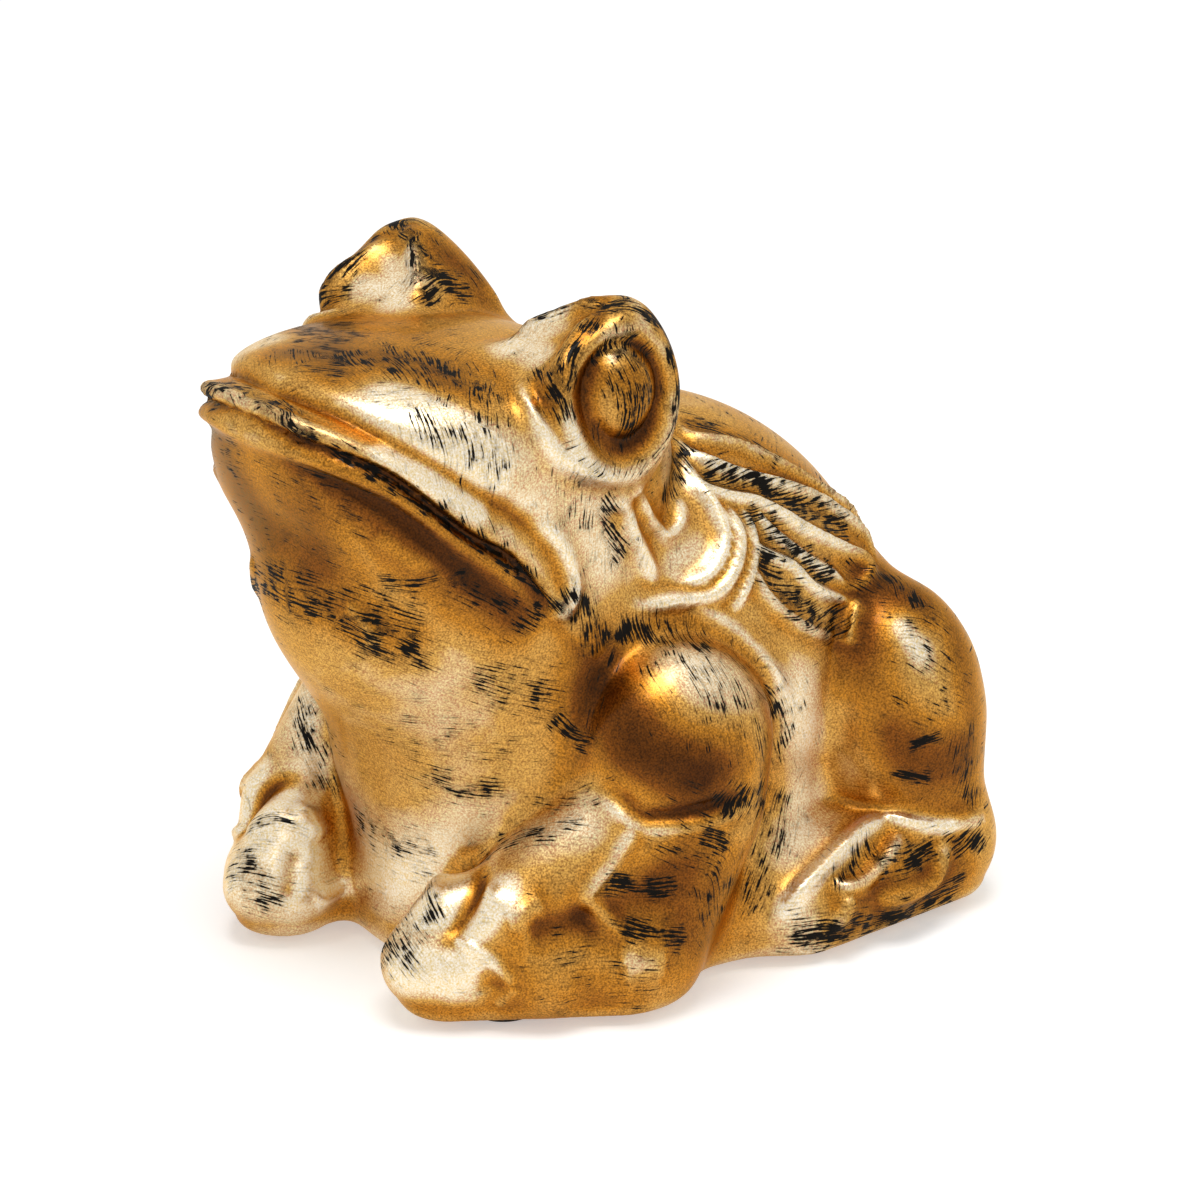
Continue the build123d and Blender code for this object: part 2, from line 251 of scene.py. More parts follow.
# How far a ridge's sides reach in half widths, how steeply they fall, and at what share
# of its length each end starts and over what share it rises
RELIEF_REACH = 3.0
RELIEF_POWER = 1.7
RELIEF_END_START = 0.06
RELIEF_END = 0.28

# Where the black was brushed on: name, half width in millimetres, cover, how far the
# bristles lie across the path in degrees, and pixels
BRUSHED = (
    ("crown scratches", 6, 0.42, -60, ((285, 335), (330, 340), (380, 345))),
    ("crown scratches back", 4, 0.4, 50, ((300, 318), (350, 325), (400, 330))),
    ("head band", 5, 0.62, -50, ((300, 352), (350, 360), (410, 368), (455, 382), (485, 400))),
    ("head band middle", 2.6, 0.68, -45, ((392, 350), (430, 362), (468, 382))),
    ("cheek lines", 3.5, 0.5, -50, ((425, 422), (465, 440), (500, 462))),
    ("cheek dashes", 4, 0.4, -45, ((560, 488), (595, 515), (625, 550))),
    ("cheek edge", 1.8, 0.7, 15, ((606, 498), (612, 525), (622, 553))),
    ("far mound", 2.6, 0.78, 10, ((420, 288), (440, 280), (462, 285))),
    ("far crease", 1, 0.74, 0, ((414, 235), (416, 262), (418, 292))),
    ("far mound front", 3, 0.42, -20, ((432, 240), (455, 262), (478, 282))),
    ("far mound top", 1.3, 0.6, 0, ((385, 228), (412, 218), (440, 232))),
    ("far mound left", 1.5, 0.5, 0, ((335, 290), (350, 262), (372, 240))),
    ("mound top", 1.5, 0.78, 0, ((600, 308), (630, 306), (655, 320), (668, 342))),
    ("mound edge", 0.8, 0.74, 0, ((505, 332), (530, 316), (570, 308), (600, 306))),
    ("brow", 2.4, 0.66, 0, ((585, 325), (562, 360), (555, 400))),
    ("brow foot", 2, 0.72, 0, ((543, 368), (554, 392), (560, 410))),
    ("eyeball", 4.5, 0.62, 0, ((612, 340), (622, 380), (628, 425))),
    ("eyeball top", 2.2, 0.72, 80, ((600, 348), (618, 342), (640, 352))),
    ("eye rim", 1, 0.72, 0, ((664, 345), (673, 385), (668, 430), (650, 455))),
    ("under eye", 1.5, 0.45, 60, ((570, 440), (600, 468), (640, 470))),
    ("lip tip", 1.6, 0.8, 0, ((209, 394), (225, 390), (243, 392))),
    ("lip band", 1.6, 0.6, 20, ((250, 400), (280, 412), (310, 436))),
    ("mouth", 0.9, 0.8, 0, (
        (300, 434), (350, 460), (400, 490), (470, 540), (520, 575), (560, 610))),
    ("lip crumbs", 1.2, 0.55, -30, ((440, 505), (490, 540), (540, 585))),
    ("jaw dashes", 4, 0.4, 0, ((270, 470), (310, 488), (360, 505))),
    ("chin dashes", 3.5, 0.36, 0, ((245, 515), (275, 528), (305, 545))),
    ("jaw marks", 1.4, 0.68, 0, ((386, 582), (420, 584), (465, 577))),
    ("corner marks", 2.6, 0.6, 0, ((450, 582), (490, 600), (530, 622))),
    ("corner mass", 2.4, 0.74, -20, ((570, 590), (585, 612), (600, 640))),
    ("throat patch", 4, 0.64, 0, ((290, 592), (340, 608), (400, 628))),
    ("throat patch low", 3, 0.72, 0, ((345, 625), (380, 640), (417, 656))),
    ("belly dashes", 3, 0.58, 0, ((480, 682), (515, 692), (556, 700))),
    ("belly dashes far", 3.5, 0.4, 0, ((400, 735), (450, 742), (498, 745))),
    ("belly dashes low", 2.6, 0.56, 0, ((420, 775), (455, 786), (490, 790))),
    ("belly dashes foot", 2.6, 0.52, 0, ((375, 832), (400, 845), (424, 852))),
    ("chest side", 2.2, 0.62, 0, ((298, 700), (310, 740), (330, 785))),
    ("arm side", 1.8, 0.66, 0, ((556, 722), (572, 735), (588, 740))),
    ("arm low dashes", 2, 0.5, 0, ((540, 800), (570, 802), (595, 795))),
    ("shoulder", 2.4, 0.78, -60, ((624, 628), (655, 634), (705, 645))),
    ("shoulder side", 2, 0.5, 0, ((612, 650), (598, 690), (590, 730))),
    ("upper arm", 6, 0.44, -30, ((670, 655), (720, 690), (760, 740))),
    ("upper arm edge", 3, 0.54, 0, ((735, 660), (770, 700), (785, 750))),
    ("elbow", 3, 0.72, 60, ((728, 800), (755, 800), (776, 790))),
    ("elbow low", 6, 0.52, 10, ((690, 835), (725, 860), (722, 910))),
    ("elbow side", 2.6, 0.6, 0, ((780, 800), (768, 850), (750, 900))),
    ("forearm dash", 1.5, 0.8, 0, ((606, 884), (640, 888), (672, 885))),
    ("forearm dash low", 1.8, 0.82, 0, ((622, 926), (650, 934), (680, 936))),
    ("foot gap", 1.4, 0.6, 0, ((425, 880), (430, 900), (437, 918))),
    ("behind eye", 2, 0.72, 60, ((664, 500), (676, 475), (690, 450))),
    ("back near spine", 2, 0.6, 0, ((690, 422), (725, 432), (768, 458))),
    ("back ribbon", 2.4, 0.7, 28, ((706, 472), (750, 484), (800, 506), (842, 532))),
    ("back pad", 2.4, 0.74, 40, ((752, 520), (768, 530), (786, 545))),
    ("back pad low", 2.2, 0.74, 40, ((785, 545), (804, 556), (824, 572))),
    ("leaf pad", 2.6, 0.76, 35, ((762, 562), (776, 580), (795, 598))),
    ("leaf pad low", 2.4, 0.7, 35, ((782, 592), (805, 610), (838, 624))),
    ("haunch marks", 5.5, 0.42, 40, ((890, 600), (925, 630), (950, 690))),
    ("haunch top", 2.6, 0.6, -40, ((856, 585), (885, 580), (915, 600))),
    ("haunch dash", 1, 0.8, 0, ((914, 745), (926, 742), (938, 738))),
    ("haunch dash low", 1, 0.8, 0, ((894, 772), (912, 776), (928, 779))),
    ("haunch side", 2.6, 0.6, -30, ((960, 740), (968, 770), (972, 795))),
    ("hind toe", 1.8, 0.66, 60, ((838, 880), (855, 868), (872, 852))),
    ("hind toe middle", 2.4, 0.68, 0, ((880, 868), (905, 862), (928, 850))),
    ("hind toe far", 2.4, 0.66, 20, ((948, 850), (965, 845), (980, 835))),
    ("hind foot rim", 3, 0.74, 0, ((800, 935), (850, 928), (900, 915), (950, 892))),
    ("far toes", 2.6, 0.66, 40, ((240, 860), (255, 880), (270, 902))),
    ("hand", 4, 0.4, 20, ((560, 960), (600, 970), (640, 985))),
)
# How far a stroke's sides reach in half widths, and how softly they fade
BRUSH_REACH = 2.2
BRUSH_EDGE = 1.2
# The cover beside the strokes, and more of it on the rear, which the photograph hides
BARE_COVER = 0.12
REAR_COVER = 0.34
REAR_AIM = 1.4
REAR_START = 0.3
# Round the body the pattern runs on this radius, and each stroke takes its own part of it
BODY_RADIUS = 34
PATTERN_SHIFT = 40

# Where the finish runs darker (above zero: amber wash together with painted shade) or paler
# (below zero: thin gold together with painted highlights and painted light): name, half width
# in millimetres, tone, and pixels
WASHES_WITH_PAINTED_LIGHT = (
    ("crown", 7, 0.4, ((260, 345), (320, 335), (400, 335))),
    ("head band", 5.5, 0.85, ((290, 352), (350, 356), (420, 368), (475, 402))),
    ("cheek light", 4, -1.15, ((395, 400), (445, 428), (490, 465))),
    ("lip amber", 2, 0.1, ((215, 388), (260, 400), (320, 430))),
    ("lip light", 1.6, -0.9, ((385, 448), (430, 476), (480, 508))),
    ("cheek side", 7, -0.55, ((530, 450), (570, 500), (600, 550))),
    ("chin", 9.5, 0.95, ((215, 450), (240, 490), (275, 540))),
    ("jaw", 5.5, 1.25, ((330, 484), (385, 518), (445, 560), (515, 606))),
    ("throat patch", 4.5, 0.65, ((290, 590), (340, 612), (400, 640))),
    ("throat light", 6, 0.05, ((300, 660), (350, 690), (390, 740))),
    ("throat middle", 6, 0.1, ((380, 590), (430, 620), (470, 640))),
    ("belly light", 9, -0.22, ((430, 690), (480, 710), (540, 700))),
    ("belly gold", 9, -0.15, ((420, 800), (490, 800), (560, 815))),
    ("chest left", 5, -0.6, ((298, 680), (312, 730), (330, 790))),
    ("chest gold", 6, -0.75, ((330, 770), (355, 820), (385, 870))),
    ("far mound", 4.5, 0.95, ((430, 245), (455, 262), (480, 280))),
    ("far mound crease", 1.2, 1.2, ((413, 228), (415, 260), (417, 296))),
    ("far mound light", 3, -0.7, ((365, 285), (388, 290), (403, 285))),
    ("far mound back", 3, 0.6, ((350, 262), (372, 238), (392, 222))),
    ("eyeball", 4.5, 1.1, ((610, 355), (622, 390), (630, 425))),
    ("eyeball light", 1.6, -0.8, ((604, 352), (610, 345), (618, 342))),
    ("brow", 2.4, 1.1, ((588, 322), (565, 352), (552, 395))),
    ("mound front", 3, -0.8, ((512, 345), (545, 330), (560, 325))),
    ("mound back", 2.5, 0.8, ((655, 318), (676, 350), (680, 390), (670, 430))),
    ("arm light", 5.5, -0.45, ((655, 655), (685, 668), (706, 690))),
    ("arm amber", 7.5, 1.5, ((605, 690), (640, 740), (700, 775))),
    ("arm edge", 4.5, 0.85, ((745, 690), (775, 750), (770, 800))),
    ("forearm", 8, 1, ((645, 860), (690, 890), (700, 935))),
    ("forearm pale", 3, -0.4, ((610, 870), (640, 850), (655, 838))),
    ("hand amber", 6, 0.65, ((530, 925), (565, 925), (605, 915))),
    ("foot amber", 5, 0.65, ((520, 990), (570, 990), (620, 1000))),
    ("foot edge", 3, 0.6, ((420, 1010), (480, 1022), (560, 1026))),
    ("finger light", 3.4, -1.1, ((430, 875), (445, 885), (436, 910))),
    ("finger light two", 2.2, -1, ((505, 892), (488, 915), (470, 938))),
    ("finger gap", 1.6, 1, ((480, 870), (470, 902), (452, 938))),
    ("toe light", 3, -1, ((415, 968), (445, 972), (468, 968))),
    ("haunch front", 5, 1, ((868, 630), (865, 680), (885, 730))),
    ("haunch top", 5.5, 1.15, ((862, 590), (890, 590), (920, 600))),
    ("haunch low", 6, 1.2, ((885, 735), (925, 760), (960, 760))),
    ("haunch light", 2, -0.7, ((902, 628), (912, 640), (920, 650))),
    ("haunch edge", 4, 0.8, ((950, 620), (968, 680), (972, 760))),
    ("flank", 7, -0.7, ((796, 700), (808, 750), (800, 830))),
    ("flank up", 4.5, 0.4, ((800, 620), (815, 655), (822, 690))),
    ("shoulder back", 4, -0.3, ((640, 590), (690, 590), (735, 600))),
    ("drop light", 4, -0.6, ((640, 560), (670, 560), (700, 550))),
    ("back light", 7, -0.55, ((690, 480), (750, 510), (820, 570))),
    ("back amber", 3, 0.55, ((700, 430), (760, 448), (830, 490))),
    ("hind toes", 4, 0.85, ((860, 915), (910, 895), (960, 870))),
    ("hind edge light", 1.8, -0.9, ((790, 905), (830, 862), (880, 818), (940, 826))),
    ("far arm", 3.5, 0.4, ((308, 690), (300, 720), (290, 750))),
    ("far foot", 5, -0.55, ((255, 830), (300, 850), (340, 870))),
)
# How far the sides of a wash or of a painted patch of light or shade reach in half widths
TONE_REACH = 2.4

# The bare tone, and what the washes with their painted light and shade, fine and broad
# hollows and clouds add to it. The hollows add painted shade in the creases along with the
# amber wash gathered there, and painted highlights on the ridges
BARE_TONE = 0.17
WASH_AND_PAINTED_LIGHT_SHARE = 0.48
FINE_SHARE = 0.8
FINE_LIMITS = -0.22, 0.42
BROAD_SHARE = 0.04
CLOUD_SHARE = 0.35
# How often the skin is smoothed to find the fine and the broad hollows
FINE_TURNS = 8
BROAD_TURNS = 60

# Blots and bristle lines add to the cover. Black and its haze start at the first of
# these sums and reach the most, the third number, at the second.
BLOT_SHARE = 1.5
BRISTLE_SHARE = 2.0
BLACK = 2.36, 2.50, 1.0
HAZE = 1.90, 2.60, 0.5
BLACK_ROUGHER = 0.5

# Sizes of the finish's patterns in millimetres
BRISTLE_RUN = 3.4
BRISTLE_GAP = 0.28
BLOT = 2.4
CLOUD = 9.0
GRAIN = 0.24
FLOW_MARK = 1.4
FIBRE = 0.2

# The stage, in metres
FLOOR_HALF = 4.0
FLOOR_GLOW = 0.4
SOFTBOX_SIZE = 0.34
SOFTBOX_PLACE = (0.12, -0.10, 0.70)
SOFTBOX_AIM = (0, 0, 0.04)


def turned(degrees):
    """Rotation about X, as rows."""
    c, s = math.cos(math.radians(degrees)), math.sin(math.radians(degrees))
    return np.array([[1, 0, 0], [0, c, -s], [0, s, c]])


def egg(p, mass):
    """Distance to an egg-shaped mass."""
    middle, radii, lean = mass
    q = (p - np.array(middle)) @ turned(lean)
    r = np.array(radii)
    inner = np.sqrt(((q / r) ** 2).sum(-1))
    outer = np.sqrt(((q / (r * r)) ** 2).sum(-1)) + 1e-9
    return inner * (inner - 1) / outer


def limb(p, shape):
    """Distance to a tapered limb with round ends."""
    start, end, start_radius, end_radius = shape
    a, b = np.array(start), np.array(end)
    axis = b - a
    along = np.clip(((p - a) @ axis) / (axis @ axis), 0, 1)
    gap = np.linalg.norm(p - a - along[:, None] * axis, axis=1)
    return gap - start_radius - (end_radius - start_radius) * along


def flat(p, point, aim):
    """Distance in front of a flat."""
    n = np.array(aim)
    return (p - np.array(point)) @ (n / np.linalg.norm(n))


def join(a, b, round_off):
    """Both forms together, with a fillet."""
    h = np.maximum(round_off - np.abs(a - b), 0) / round_off
    return np.minimum(a, b) - h * h * round_off / 4


def overlap(a, b, round_off):
    """What both forms share, with a rounded edge."""
    return -join(-a, -b, round_off)


def walled(p, height):
    """The points, with upright walls below a height."""
    return np.stack([p[:, 0], p[:, 1], np.maximum(p[:, 2], height)], 1)


def mirrored(p):
    """The points, with the right side folded on to the left."""
    return np.stack([np.abs(p[:, 0]), p[:, 1], p[:, 2]], 1)


def mouth_height(y):
    """Height of the line between the lips."""
    return MOUTH_TURN_Z + MOUTH_RISE * np.tanh((MOUTH_TURN_Y - y) / MOUTH_TURN_LENGTH)


def head_outline(p, outline):
    """Distance to the head's outline seen from above."""
    half_width, front, back = outline
    y = p[:, 1] - HEAD_MIDDLE_Y
    y = np.where(y < 0, y / front, y / back)
    k = np.abs(p[:, 0] / half_width) ** OUTLINE_POWER + np.abs(y) ** OUTLINE_POWER
    return (k ** (1 / OUTLINE_POWER) - 1) * half_width


def skull(p):
    """Distance to the head above the mouth."""
    x, y, z = p.T
    sideways, lengthways, behind = CROWN_FALLS
    crown = CROWN_HEIGHT - sideways * x * x - lengthways * (y - CROWN_TOP_Y) ** 2
    crown = crown - behind * np.maximum(y - CROWN_BACK_Y, 0) ** 2
    d = overlap(head_outline(p, SKULL_OUTLINE), z - crown, HEAD_EDGE_FILLET)
    return overlap(d, (mouth_height(y) - z) / MOUTH_SLANT, LIP_FILLET)


def jaw(p):
    """Distance to the head below the mouth."""
    y, z = p[:, 1], p[:, 2]
    d = overlap(head_outline(p, JAW_OUTLINE), flat(p, *CHIN_FLAT), HEAD_EDGE_FILLET)
    d = overlap(d, (z - mouth_height(y) - MOUTH_OVERLAP) / MOUTH_SLANT, LIP_FILLET)
    return overlap(d, JAW_FOOT - z, JAW_FOOT_FILLET)


def eye_mound(p):
    """Distance to the mound with a front and an inner flat, and an oval outer face."""
    ridge_fillet, face_fillet, rim_fillet, root_fillet = EYE_FILLETS
    front, inner = flat(p, EYE_PEAK, EYE_FRONT_AIM), flat(p, EYE_PEAK, EYE_INNER_AIM)
    d = overlap(front, inner, ridge_fillet)
    d = overlap(d, flat(p, EYE_MIDDLE, EYE_OUTWARDS), face_fillet)
    breadth, rise = EYE_RIM
    rim = np.hypot((p[:, 1] - EYE_MIDDLE[1]) / breadth, (p[:, 2] - EYE_MIDDLE[2]) / rise)
    d = overlap(d, (rim - 1) * breadth, rim_fillet)
    return overlap(d, EYE_ROOT_X - p[:, 0], root_fillet)


def frog_form(points):
    """Distance to the frog's skin, before the relief."""
    p = mirrored(points)
    d = egg(p, TRUNK)
    # Each form with the fillet that joins it to those before it
    forms = [
        (egg(p, CHEST), 10), (egg(p, THROAT), 8), (jaw(p), 4), (skull(p), 1.2),
        (eye_mound(p), 3), (egg(p, UPPER_ARM), 3), (limb(p, FOREARM), 4), (limb(p, SHIN), 3),
        (limb(walled(p, FOOT_WALL), FRONT_FOOT), 4), (limb(p, RUMP), 4), (egg(p, HAUNCH), 3),
        (limb(p, HEEL), 3), (limb(walled(p, FOOT_WALL), HIND_FOOT), 3),
        *((limb(p, toe), 3) for toe in TOES),
        (egg(walled(p, SKIRT_WALL), SKIRT), 6),
    ]
    for form, fillet in forms:
        d = join(d, form, fillet)
    d = overlap(d, -p[:, 2], SOLE_FILLET)
    beside = np.hypot(p[:, 0], p[:, 1] - POUR_HOLE_Y) - RECESS_RADIUS
    recess = overlap(beside, p[:, 2] - RECESS_DEPTH, RECESS_FILLET)
    return overlap(d, -recess, RECESS_FILLET)


def camera_axes():
    """The photograph's camera: right, up and backwards."""
    around, up = math.radians(CAMERA_AROUND), math.radians(CAMERA_UP)
    level = math.cos(up)
    back = np.array([math.sin(around) * level, -math.cos(around) * level, math.sin(up)])
    right = np.array([math.cos(around), math.sin(around), 0.0])
    return right, np.cross(back, right), back


def smooth_path(pixels, spacing=3.0):
    """A curve through the pixels, as points about the spacing apart."""
    p = np.array(pixels, float)
    p = np.vstack([2 * p[0] - p[1], p, 2 * p[-1] - p[-2]])
    path = []
    for a, b, c, d in zip(p[:-3], p[1:-2], p[2:-1], p[3:]):
        for t in np.arange(0, 1, spacing / max(np.linalg.norm(c - b), spacing)):
            square = (2 * a - 5 * b + 4 * c - d) * t ** 2
            cube = (3 * b - a - 3 * c + d) * t ** 3
            path.append(0.5 * (2 * b + (c - a) * t + square + cube))
    path.append(p[-2])
    return np.array(path)


def nearest_to_ray(tree, eye, ray):
    """The skin beside a ray that just misses it."""
    best, least = None, LARGEST_MISS
    for reach in np.arange(CAMERA_DISTANCE - RAY_REACH, CAMERA_DISTANCE + RAY_REACH, RAY_STEP):
        skin, _, _, gap = tree.find_nearest(Vector(eye + ray * reach), least)
        if skin is not None and gap < least:
            best, least = skin, gap
    return best


def on_skin(tree, name, pixels):
    """Where the camera's rays through the pixels meet the skin."""
    right, up, back = camera_axes()
    eye = CAMERA_TARGET + back * CAMERA_DISTANCE
    hits = []
    for u, v in smooth_path(pixels):
        ray = right * (u - FRAME_PIXELS / 2) - up * (v - FRAME_PIXELS / 2) - back * FOCAL_PIXELS
        ray /= np.linalg.norm(ray)
        hit = tree.ray_cast(Vector(eye), Vector(ray))[0]
        if hit is None:
            hit = nearest_to_ray(tree, eye, ray)
        if hit is not None:
            hits.append(np.array(hit))
    hits = np.array(hits)
    steps = np.linalg.norm(np.diff(hits, axis=0), axis=1)
    runs = np.split(hits, np.where(steps > LARGEST_STEP)[0] + 1)
    longest = max(runs, key=len)
    if len(longest) < 2:
        raise RuntimeError(f"the {name} misses the skin")
    return longest


def slope(points):
    """Gradient of the form's distance."""
    step = 0.05
    sides = []
    for axis in step * np.eye(3):
        sides.append((frog_form(points + axis) - frog_form(points - axis)) / (2 * step))
    return np.stack(sides, 1)


def drawn_to_form(points, times):
    """The points, moved on to the form in Newton steps."""
    for _ in range(times):
        d, g = frog_form(points), slope(points)
        move = d / np.maximum((g * g).sum(1), LEAST_SLOPE_SQUARED)
        points = points - np.clip(move, -LARGEST_MOVE, LARGEST_MOVE)[:, None] * g
    return points


def new_object(name, data):
    """An object in the scene."""
    made = bpy.data.objects.new(name, data)
    bpy.context.scene.collection.objects.link(made)
    return made


def remeshed(points, faces, spacing):
    """The closed surface again, in even quads."""
    mesh = bpy.data.meshes.new("rough")
    mesh.from_pydata(points.tolist(), [], faces.tolist())
    rough = new_object("rough", mesh)
    voxels = rough.modifiers.new("even", "REMESH")
    voxels.mode = "VOXEL"
    voxels.voxel_size = spacing
    even = rough.evaluated_get(bpy.context.evaluated_depsgraph_get()).to_mesh()
    new_points = np.zeros(len(even.vertices) * 3)
    even.vertices.foreach_get("co", new_points)
    corners = np.zeros(len(even.loops), int)
    even.loops.foreach_get("vertex_index", corners)
    sizes = np.zeros(len(even.polygons), int)
    even.polygons.foreach_get("loop_total", sizes)
    if not (sizes == 4).all():
        raise RuntimeError("the remeshed skin should be all quads")
    bpy.data.objects.remove(rough)
    bpy.data.meshes.remove(mesh)
    return new_points.reshape(-1, 3), corners.reshape(-1, 4)


def first_skin():
    """A ball drawn in on to the form from all round."""
    ball = bmesh.new()
    bmesh.ops.create_icosphere(ball, subdivisions=7, radius=1.0)
    ball.verts.ensure_lookup_table()
    rays = np.array([v.co for v in ball.verts])
    faces = np.array([[v.index for v in f.verts] for f in ball.faces])
    ball.free()
    reach = np.full(len(rays), START_RADIUS)
    for _ in range(START_TURNS):
        reach -= START_SHARE * frog_form(START_MIDDLE + rays * reach[:, None])
    return START_MIDDLE + rays * reach[:, None], faces


def skin_normals(points, faces):
    """The skin's aim at each point."""
    a, b, c, d = (points[faces[:, k]] for k in range(4))
    face_normals = np.cross(c - a, d - b)
    normals = np.zeros_like(points)
    for k in range(4):
        for axis in range(3):
            normals[:, axis] += np.bincount(faces[:, k], face_normals[:, axis], len(points))
    return normals / (np.linalg.norm(normals, axis=1, keepdims=True) + 1e-12)


def hollows(points, faces):
    """How deep each point lies below the skin smoothed a little, and smoothed much."""
    pairs = np.vstack([faces[:, [k, (k + 1) % 4]] for k in range(4)])
    edges = np.unique(np.sort(pairs, axis=1), axis=0)
    ends = np.concatenate([edges[:, 0], edges[:, 1]])
    others = np.concatenate([edges[:, 1], edges[:, 0]])
    counts = np.bincount(ends, minlength=len(points))
    normals = skin_normals(points, faces)
    smooth = points
    depths = []
    for turn in range(1, BROAD_TURNS + 1):
        sums = [np.bincount(ends, smooth[others, k], len(points)) for k in range(3)]
        smooth = np.stack([total / counts for total in sums], 1)
        if turn in (FINE_TURNS, BROAD_TURNS):
            depths.append(((smooth - points) * normals).sum(1))
    return depths


def nearest_on_path(points, path, reach):
    """Indices near a path, their distances to it and the nearest path point."""
    inside = (points > path.min(0) - reach) & (points < path.max(0) + reach)
    near = np.where(inside.all(1))[0]
    if not len(near):
        return near, np.zeros(0), np.zeros(0, int)
    gaps = np.linalg.norm(points[near][:, None, :] - path[None, :, :], axis=2)
    step = gaps.argmin(1)
    return near, gaps[np.arange(len(near)), step], step


def both_sides(path):
    """The path on the frog's left, and its mirror image."""
    return [path, path * np.array([-1.0, 1.0, 1.0])]


def relief_heights(points, tree):
    """Height of the ridges and depth of the grooves at each point."""
    ridges, grooves = np.zeros(len(points)), np.zeros(len(points))
    for name, half_width, height, pixels in RELIEF:
        for side in both_sides(on_skin(tree, name, pixels)):
            near, gap, step = nearest_on_path(points, side, RELIEF_REACH * half_width)
            along = step / (len(side) - 1)
            to_end = np.minimum(along, 1 - along)
            ends = np.clip((to_end + RELIEF_END_START) / RELIEF_END, 0, 1)
            ends = ends * ends * (3 - 2 * ends)
            lift = height * ends * np.exp(-(gap / half_width) ** RELIEF_POWER)
            if height > 0:
                ridges[near] = np.maximum(ridges[near], lift)
            else:
                grooves[near] = np.minimum(grooves[near], lift)
    return ridges + grooves


def turned_height(offset, outwards, radii, heights):
    """Height of a turned profile at each offset from its middle, and the radius there."""
    away = offset - (offset @ outwards)[:, None] * outwards
    radius = np.hypot(np.hypot(away[:, 0], away[:, 1]), away[:, 2] / EYE_TALL_SHARE)
    fine = np.linspace(0, radii[-1], PROFILE_POINTS)
    padded = np.pad(np.interp(fine, radii, heights), PROFILE_BLUR // 2, mode="edge")
    profile = np.convolve(padded, np.ones(PROFILE_BLUR) / PROFILE_BLUR, "valid")
    return np.interp(radius, fine, profile), radius


def eye_lift(points):
    """How far the eyeball and its ring stand out of the eye's face."""
    outwards = np.array(EYE_OUTWARDS) / np.linalg.norm(EYE_OUTWARDS)
    offset = mirrored(points) - np.array(EYE_MIDDLE)
    ring, radius = turned_height(offset, outwards, RING_RADII, RING_HEIGHTS)
    ball, _ = turned_height(offset - np.array(BALL_OFFSET), outwards, BALL_RADII, BALL_HEIGHTS)
    near = (np.abs(offset @ outwards) < EYE_REACH) * (radius < RING_RADII[-1])
    lift = np.maximum(ring, ball) * near
    directions = np.tile(outwards, (len(points), 1))
    directions[:, 0] *= np.sign(points[:, 0])
    return lift[:, None] * directions


def brush_marks(points, normals, tree):
    """Along and across the bristle lines in millimetres, and how much black they left."""
    around = np.arctan2(points[:, 0], -points[:, 1])
    bare = BARE_COVER + REAR_COVER * np.clip(REAR_AIM * normals[:, 1] - REAR_START, 0, 1)
    marks = np.stack([around * BODY_RADIUS, points[:, 2], bare], 1)
    offset = 0.0
    for name, half_width, cover, lay, pixels in BRUSHED:
        for side, turn in zip(both_sides(on_skin(tree, name, pixels)), (lay, -lay)):
            offset += PATTERN_SHIFT
            near, gap, step = nearest_on_path(points, side, BRUSH_REACH * half_width)
            steps = np.linalg.norm(np.diff(side, axis=0), axis=1)
            lengths = np.concatenate([[0], np.cumsum(steps)])
            tangent = np.gradient(side, axis=0)
            tangent /= np.linalg.norm(tangent, axis=1, keepdims=True) + 1e-9
            away = points[near] - side[step]
            along = lengths[step] + (away * tangent[step]).sum(1)
            across = (away * np.cross(normals[near], tangent[step])).sum(1)
            over = np.clip(np.maximum(-along, along - lengths[-1]) / half_width, 0, 2)
            fade = np.exp(-(gap / half_width) ** 2 / BRUSH_EDGE) * np.exp(-over ** 2)
            amount = BARE_COVER + (cover - BARE_COVER) * fade
            c, s = math.cos(math.radians(turn)), math.sin(math.radians(turn))
            better = amount > marks[near, 2] + 1e-6
            lengthways, crossways = along * c + across * s, across * c - along * s
            lines = np.stack([lengthways + offset, crossways + offset, amount], 1)
            marks[near[better]] = lines[better]
    return marks


def washes_with_painted_light(points, tree):
    """How dark the amber wash and the painted shade are at each point, or how pale the gold
    and the painted highlights.
    """
    darker, paler = np.zeros(len(points)), np.zeros(len(points))
    for name, half_width, tone, pixels in WASHES_WITH_PAINTED_LIGHT:
        for side in both_sides(on_skin(tree, name, pixels)):
            near, gap, _ = nearest_on_path(points, side, TONE_REACH * half_width)
            fade = tone * np.exp(-(gap / half_width) ** 2)
            if tone > 0:
                darker[near] = np.maximum(darker[near], fade)
            else:
                paler[near] = np.minimum(paler[near], fade)
    return darker * (1 + paler) + paler


def linear(hex_colour):
    """An sRGB hex colour as linear light."""
    values = [int(hex_colour[k:k + 2], 16) / 255 for k in (1, 3, 5)]
    return [v / 12.92 if v <= 0.04045 else ((v + 0.055) / 1.055) ** 2.4 for v in values]


def add_node(tree, kind, settings=None, inputs=None):
    """Adds a node with its settings, and its inputs as values or links. A colour mix has
    its share at input 0, its colours at 6 and 7, and its result at output 2."""
    node = tree.nodes.new(kind)
    for key, value in (settings or {}).items():
        setattr(node, key, value)
    for key, value in (inputs or {}).items():
        if isinstance(value, bpy.types.NodeSocket):
            tree.links.new(value, node.inputs[key])
        else:
            node.inputs[key].default_value = value
    return node


def new_material(name):
    """An empty material and its node tree."""
    material = bpy.data.materials.new(name)
    material.use_nodes = True
    material.node_tree.nodes.clear()
    return material, material.node_tree


